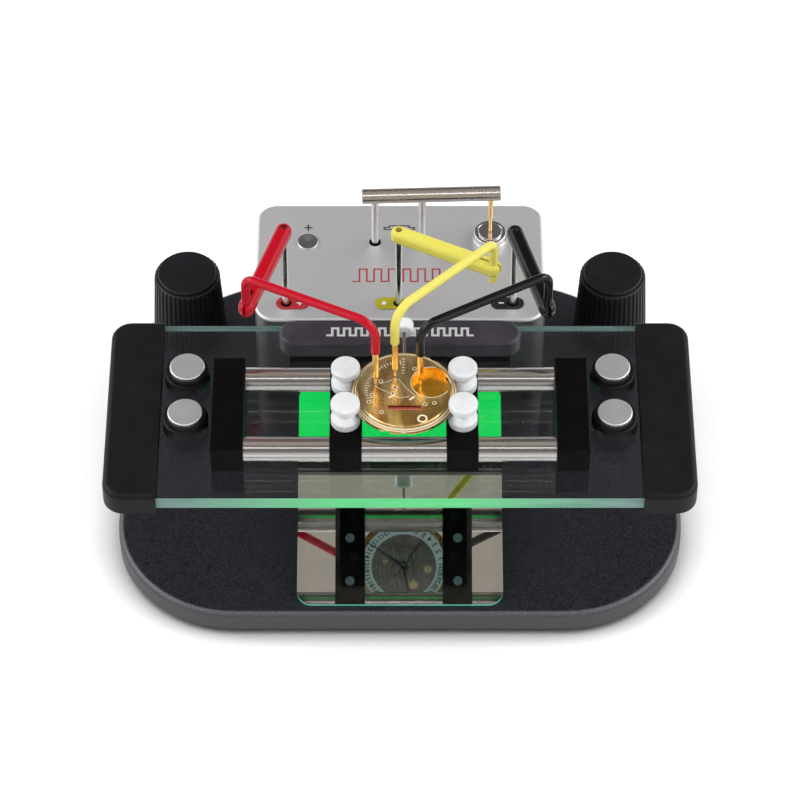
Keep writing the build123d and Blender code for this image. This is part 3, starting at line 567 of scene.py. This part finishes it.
WEARS = {
    "base_plate": "paint", "front_feet": "rubber", "fixing_screws": "screw_black",
    "level_bushings": "brass", "level_knob_left": "moulded", "level_knob_right": "moulded",
    "level_spindle_left": "pin_steel", "level_spindle_right": "pin_steel",
    "instrument_box": "aluminium", "circuit_board": "board", "rear_socket": "moulded",
    "post_bushings": "deep_black", "bridge_bar": "turned_steel", "bridge_posts": "pin_steel",
    "cell_pin_barrel": "gold_pin", "cell_pin_tip": "gold_pin", "cell_contacts": "cell_steel",
    "button_cell": "cell_steel", "glass_plate": "glass", "end_caps": "anodised",
    "magnet_cups": "anodised", "magnet_discs": "disc_steel", "clamp_bar": "bar_grey",
    "support_bracket": "anodised", "guide_rods": "rod_steel", "end_blocks": "deep_black",
    "jaw_left": "deep_black", "jaw_right": "deep_black", "spools_left": "nylon",
    "spools_right": "nylon", "spool_pins_left": "pin_nylon", "spool_pins_right": "pin_nylon",
    "mirror_plate": "mirror", "green_window": "window", "mirror_carrier": "deep_black",
    "led_board": "board", "movement_plate": "gold_plate", "movement_bridge": "gold_bridge",
    "movement_coil": "coil", "date_ring": "date", "watch_hands": "hand_black",
    "crown_stem": "crown",
}
for colour in ("red", "yellow", "black"):
    WEARS[f"pad_{colour}"] = f"pad_{colour}"
    WEARS[f"post_{colour}"] = "pin_steel"
    WEARS[f"arm_{colour}"] = f"{colour}_paint"
    WEARS[f"probe_rod_{colour}"] = f"{colour}_sleeve"
    WEARS[f"probe_barrel_{colour}"] = "gold_pin"
    WEARS[f"probe_tip_{colour}"] = "gold_pin"


def dress(node, material):
    """Give a CAD node its material."""
    mesh = nodes[node].data
    mesh.materials.clear()
    mesh.materials.append(MAT[material])


for node_name, material_name in WEARS.items():
    dress(node_name, material_name)


# ---------------------------------------------------------------- extra pieces

INK = 0.02 * MM                # thinner than the air under the probe tips
BRIDGE_LEVEL = (MOVE_TOP - STAGE.z) / MM

# In mm
SIGN_LINE = 0.38               # stroke of the plus signs
THIN_LINE = 0.16               # stroke of the ticks and the pocket's rim
TAB_REACH = 0.8                # half the length of a circuit tab
RIM_R = 4.85                   # painted highlight line round the cell pocket's top edge
FLANGE_DROP = 1.0              # from the bridge's top down to the flange
DATE_R = 9.75                  # circle of the date numbers
DAYS = 31
WHEEL_POINTS = 48


def piece(name, bm, material, node, smooth=False):
    """Turn a bmesh in the row frame into a piece that rides with a CAD node's body."""
    bmesh.ops.remove_doubles(bm, verts=bm.verts, dist=1e-8)
    bmesh.ops.recalc_face_normals(bm, faces=bm.faces)
    mesh = bpy.data.meshes.new(name)
    bm.to_mesh(mesh)
    bm.free()
    mesh.materials.append(MAT[material])
    if smooth:
        mesh.shade_smooth()
    obj = bpy.data.objects.new(name, mesh)
    bpy.context.scene.collection.objects.link(obj)
    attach(obj, body_of_node(node))


def prism(bm, outline, low, high):
    """Closed slab over a flat outline of points in mm from the stage centre."""
    flat = [at(x, y) for x, y in outline]
    rings = []
    for height in (low, high):
        rings.append([bm.verts.new((p.x, p.y, height)) for p in flat])
    bm.faces.new(rings[0][::-1])
    bm.faces.new(rings[1])
    count = len(outline)
    for i in range(count):
        j = (i + 1) % count
        bm.faces.new((rings[0][i], rings[0][j], rings[1][j], rings[1][i]))


def ribbon(path, width):
    """Outline of a line of even width along a path, with mitred corners."""
    left, right = [], []
    for i, point in enumerate(path):
        before = Vector(path[max(i - 1, 0)])
        after = Vector(path[min(i + 1, len(path) - 1)])
        here = Vector(point)
        a = (here - before).normalized() if i else (after - here).normalized()
        b = (after - here).normalized() if i < len(path) - 1 else a
        across = Vector((-(a + b).y, (a + b).x)).normalized()
        reach = width / 2 / max(across.dot(Vector((-a.y, a.x))), 0.3)
        left.append(tuple(here + across * reach))
        right.append(tuple(here - across * reach))
    return left + right[::-1]


def polar(x, y, radius, angle):
    """A point at a radius and an angle from x, y."""
    return (x + radius * math.cos(angle), y + radius * math.sin(angle))


def circle(x, y, radius, count=24):
    """Outline of a disc."""
    return [polar(x, y, radius, TURN * i / count) for i in range(count)]


def lathe(bm, x, y, profile, count=48):
    """Closed ring turned about an upright axis; profile is a loop of (radius, height) in mm."""
    rings = []
    for i in range(count):
        c, s = math.cos(TURN * i / count), math.sin(TURN * i / count)
        rings.append([bm.verts.new(at(x + r * c, y + r * s, z)) for r, z in profile])
    for i in range(count):
        one, two = rings[i], rings[(i + 1) % count]
        for j in range(len(profile)):
            k = (j + 1) % len(profile)
            bm.faces.new((one[j], two[j], two[k], one[k]))


def square_wave(x0, x1, y, height, pulses):
    """Path of a row of even pulses."""
    step = (x1 - x0) / (2 * pulses + 1)
    path = [(x0, y)]
    for i in range(pulses):
        rise, fall = x0 + step * (2 * i + 1), x0 + step * (2 * i + 2)
        path += [(rise, y), (rise, y + height), (fall, y + height), (fall, y)]
    return path + [(x1, y)]


def cross(x, y, size, width):
    """Outline of a plus sign."""
    a, b = size / 2, width / 2
    return [(x + u, y + v) for u, v in ((-a, -b), (-b, -b), (-b, -a), (b, -a), (b, -b), (a, -b),
                                        (a, b), (b, b), (b, a), (-b, a), (-b, b), (-a, b))]


def printed(name, outline, material, node):
    """One sign in ink on the top of a CAD node."""
    bm = bmesh.new()
    prism(bm, outline, top(node), top(node) + INK)
    piece(name, bm, material, node)


def box_marks():
    """Generic signs: a pulse train, a plus, a cell outline and one sign on each pad."""
    wave = square_wave(x0=-12.0, x1=11.8, y=50.6, height=4.2, pulses=6)
    printed("mark_pulses", ribbon(wave, 0.42), "ink_red", "instrument_box")
    cell = ((0.0, 68.5), (3.6, 68.5), (3.6, 69.2), (2.3, 69.2), (2.3, 69.8), (-2.7, 69.8),
            (-2.7, 69.2), (-4.0, 69.2), (-4.0, 68.5), (-0.02, 68.5))
    printed("mark_cell", ribbon(cell, 0.32), "ink_black", "instrument_box")
    printed("mark_plus", cross(-23.25, 69.1, 2.1, SIGN_LINE), "ink_black", "instrument_box")
    printed("mark_pad_red", cross(-25.0, 43.1, 1.5, SIGN_LINE), "ink_white", "pad_red")
    printed("mark_pad_yellow", circle(-4.0, 43.1, 0.6), "ink_white", "pad_yellow")
    dash = [(24.6, 42.9), (25.9, 42.9), (25.9, 43.3), (24.6, 43.3)]
    printed("mark_pad_black", dash, "ink_white", "pad_black")


def bar_marks():
    """A longer pulse train along the clamp bar."""
    wave = square_wave(x0=-18.0, x1=18.0, y=24.7, height=2.3, pulses=12)
    printed("mark_bar_pulses", ribbon(wave, 0.62), "ink_grey", "clamp_bar")


def bridge_line(bm, path, width, layers=1):
    """A thin line on the movement's bridge."""
    prism(bm, ribbon(path, width), MOVE_TOP, MOVE_TOP + layers * INK)


def circuit(bm):
    """Two thin tracks and two thicker tabs."""
    upper = ((-5.9, 1.8), (-4.4, 2.1), (-2.9, 2.7), (-1.3, 3.5), (-0.2, 3.3), (1.6, 0.5),
             (3.9, -2.2))
    lower = ((-5.9, 1.6), (-4.9, 0.4), (-3.6, -0.2), (-1.9, -1.3), (-0.2, -2.5), (2.2, -2.0))
    for path in (upper, lower):
        bridge_line(bm, path, 0.10)
    for x, y, angle in ((-2.0, -2.0, 0.5), (2.8, -2.6, 0.75)):
        ends = [polar(x, y, reach, angle) for reach in (-TAB_REACH, TAB_REACH)]
        bridge_line(bm, ends, 0.42, layers=2)


def pocket_rim(bm):
    """Painted highlight: a pale line round the cell pocket's top edge, open toward the movement's
    edge.
    """
    arc = [math.radians(76 + 10 * i) for i in range(26)]
    bridge_line(bm, [polar(POCKET_X, POCKET_Y, RIM_R, a) for a in arc], THIN_LINE)


def scale_ticks(bm):
    """Ticks near the bridge's edge, every fifth one longer, and a column of short dashes."""
    for i in range(22):
        angle = math.radians(96 + 5.0 * i)
        inner = 8.6 if i % 5 else 8.2
        bridge_line(bm, [polar(MOVE_X, 0.0, r, angle) for r in (inner, 9.5)], THIN_LINE)
    for i in range(6):
        y = 5.4 + 0.9 * i
        bridge_line(bm, ((0.45, y), (1.15, y)), 0.18)


def movement_lines():
    """Everything drawn on the bridge, as one piece: printed marks and the painted highlight round the
    cell pocket.
    """
    lines = bmesh.new()
    circuit(lines)
    pocket_rim(lines)
    scale_ticks(lines)
    piece("movement_lines", lines, "ink_cream", "movement_bridge")


def jewels_and_settings():
    """Small dark jewels in raised pale rings, and one wider ring."""
    jewels, settings = bmesh.new(), bmesh.new()
    level, high = BRIDGE_LEVEL, BRIDGE_LEVEL + 0.08
    for x, y in ((-1.2, 0.8), (-1.7, -1.0), (-4.6, 2.8), (-7.4, -3.7), (-4.4, -6.9), (-6.6, -1.5),
                 (3.5, 6.8), (6.0, -4.5), (8.2, -4.1)):
        prism(jewels, circle(x, y, 0.30), MOVE_TOP, MOVE_TOP + 0.05 * MM)
        lathe(settings, x, y, ((0.34, level), (0.54, level), (0.50, high), (0.36, high)), 24)
    high = level + 0.15
    lathe(settings, 5.3, -9.0, ((0.8, level), (1.25, level), (1.2, high), (0.85, high)), 32)
    piece("movement_jewels", jewels, "jewel", "movement_bridge")
    piece("movement_settings", settings, "ink_cream", "movement_bridge", True)


def flange_rings():
    """Two raised rings round the movement's flange."""
    rings = bmesh.new()
    flange = BRIDGE_LEVEL - FLANGE_DROP
    for inner, outer, high in ((11.45, 11.85, 0.35), (12.15, 12.4, 0.12)):
        profile = ((inner, flange), (outer, flange), (outer - 0.08, flange + high),
                   (inner + 0.05, flange + high))
        lathe(rings, MOVE_X, 0.0, profile, 96)
    piece("movement_flange_rings", rings, "ink_cream", "movement_plate")


def coil_edge():
    """Pale strip along the front of the coil."""
    strip = ((-2.8, -6.0), (4.95, -6.0), (4.95, -5.72), (-2.8, -5.72))
    printed("coil_edge", strip, "coil_pale", "movement_coil")


def number_curve():
    """Text object that makes one date number at a time, centred on its own origin."""
    curve = bpy.data.curves.new("date_text", "FONT")
    curve.size = 1.9 * MM
    curve.extrude = 0.012 * MM
    curve.offset = 0.03 * MM
    curve.align_x = "CENTER"
    curve.align_y = "CENTER"
    text = bpy.data.objects.new("date_text", curve)
    bpy.context.scene.collection.objects.link(text)
    return text


def date_numbers():
    """Date numbers round the ring, facing the mirror below."""
    numbers = bmesh.new()
    text = number_curve()
    for day in range(1, DAYS + 1):
        text.data.body = str(day)
        angle = TURN * day / DAYS
        spot = MOVE + Vector((math.cos(angle), math.sin(angle), 0)) * DATE_R * MM
        spot.z = RING_LOW
        turn = Matrix.Rotation(angle - TURN / 4, 4, "Z") @ Matrix.Rotation(TURN / 2, 4, "Y")
        bpy.context.view_layer.update()
        flat = bpy.data.meshes.new_from_object(text.evaluated_get(
            bpy.context.evaluated_depsgraph_get()))
        flat.transform(Matrix.Translation(spot) @ turn)
        numbers.from_mesh(flat)
        bpy.data.meshes.remove(flat)
    bpy.data.objects.remove(text)
    piece("date_numbers", numbers, "ink_black", "date_ring")


def dial_wheels():
    """Three small toothed wheels on the dial side."""
    wheels = bmesh.new()
    low = RING_LOW - 0.2 * MM
    for x, y, radius in ((7.3, -0.9, 1.1), (3.6, -5.0, 1.3), (-3.9, 1.2, 0.7)):
        outline = []
        for i in range(WHEEL_POINTS):
            tooth = 1.0 if i % 4 < 2 else 0.86
            outline.append(polar(x, y, radius * tooth, TURN * i / WHEEL_POINTS))
        prism(wheels, outline, low, low + 0.09 * MM)
    piece("dial_wheels", wheels, "pale_gold", "movement_plate")


box_marks()
bar_marks()
movement_lines()
jewels_and_settings()
flange_rings()
coil_edge()
date_numbers()
dial_wheels()


# ---------------------------------------------------------------- light, floor and camera

LAMP_AIM = Vector((0, 0, 0.05))
SENSOR_MM = 36.0
LENS_MM = 168.97
EYE = (0.0, -588.06, 683.75)   # the camera, in mm from the stage centre
TARGET = (0.0, 4.508)          # the point that it looks at


def floor():
    """Pale floor that looks white to the camera and still takes soft shadows; a painted contact
    shadow darkens it near things on or over it.
    """
    bpy.ops.mesh.primitive_plane_add(size=12.0, location=(0, 0, 0))
    plane = bpy.context.object
    plane.name = "floor"
    s = Shader("floor_white", roughness=0.9)
    path = s.add("LightPath")
    # Painted shadow: ambient occlusion within 8 mm darkens the floor that the camera sees, near
    # things on or over it.
    nearby = s.add("AmbientOcclusion")
    nearby.samples = 4
    nearby.inputs["Distance"].default_value = 8 * MM
    camera_colour_with_painted_shadow = s.ramp(nearby.outputs["AO"], (0.16, 0.16, 0.16), (1.12, 1.12, 1.12), 0.30, 0.85)
    s.set("Base Color", s.mix(path.outputs["Is Camera Ray"], (0.80, 0.80, 0.80), camera_colour_with_painted_shadow))
    s.set("Specular IOR Level", 0.0)
    plane.data.materials.append(s.material)


def world():
    """White to the camera.  For reflections: a beige ceiling, a dim back, bright sides and a
    pale band round the horizon."""
    sky = bpy.data.worlds.new("studio")
    bpy.context.scene.world = sky
    sky.use_nodes = True
    s = Nodes(sky.node_tree)
    back = s.tree.nodes["Background"]
    x, y, z = s.split(s.add("TexCoord").outputs["Generated"])
    rear = s.ramp(y, (0.42, 0.41, 0.40), (0.16, 0.155, 0.16), -0.25, 0.35)
    dome = s.mix(s.ramp(s.math("ABSOLUTE", x), 0.0, 1.0, 0.38, 0.62), rear, (1.95, 1.95, 1.97))
    dome = s.mix(s.ramp(z, 0.0, 1.0, 0.80, 0.93), dome, (0.46, 0.42, 0.375))
    dome = s.mix(s.ramp(z, 1.0, 0.0, 0.08, 0.30), dome, (0.75, 0.75, 0.75))
    path = s.add("LightPath")
    s.feed(back.inputs[0], s.mix(path.outputs["Is Camera Ray"], dome, (1.0, 1.0, 1.0)))


def softbox(name, place, size, watts):
    """Rectangular lamp, aimed at the object."""
    data = bpy.data.lights.new(name, "AREA")
    data.shape = "RECTANGLE"
    data.size, data.size_y = size
    data.energy = watts
    lamp = bpy.data.objects.new(name, data)
    lamp.location = place
    lamp.rotation_euler = (LAMP_AIM - Vector(place)).to_track_quat("-Z", "Y").to_euler()
    bpy.context.scene.collection.objects.link(lamp)


def studio():
    """Floor, surroundings, a soft lamp at each side and a narrow strip in front."""
    floor()
    world()
    for name, side in (("left", -0.95), ("right", 0.95)):
        softbox(name, place=(side, 0.05, 0.70), size=(0.7, 0.5), watts=3.7)
    softbox("strip", place=(0.0, -0.45, 0.80), size=(0.9, 0.07), watts=1.2)


def camera():
    """Long lens from the front, about 49 degrees above the table."""
    data = bpy.data.cameras.new("camera")
    data.sensor_width = SENSOR_MM
    data.lens = LENS_MM
    eye = bpy.data.objects.new("camera", data)
    eye.location = at(*EYE)
    target = at(*TARGET)
    eye.rotation_euler = (target - eye.location).to_track_quat("-Z", "Y").to_euler()
    bpy.context.scene.collection.objects.link(eye)
    bpy.context.scene.camera = eye


studio()
camera()

view = bpy.context.scene.view_settings
view.view_transform = "Standard"
cycles = bpy.context.scene.cycles
cycles.max_bounces = 14
cycles.transmission_bounces = 10
cycles.transparent_max_bounces = 12
cycles.glossy_bounces = 6
cycles.caustics_refractive = False
cycles.caustics_reflective = False
cycles.sample_clamp_indirect = 6.0
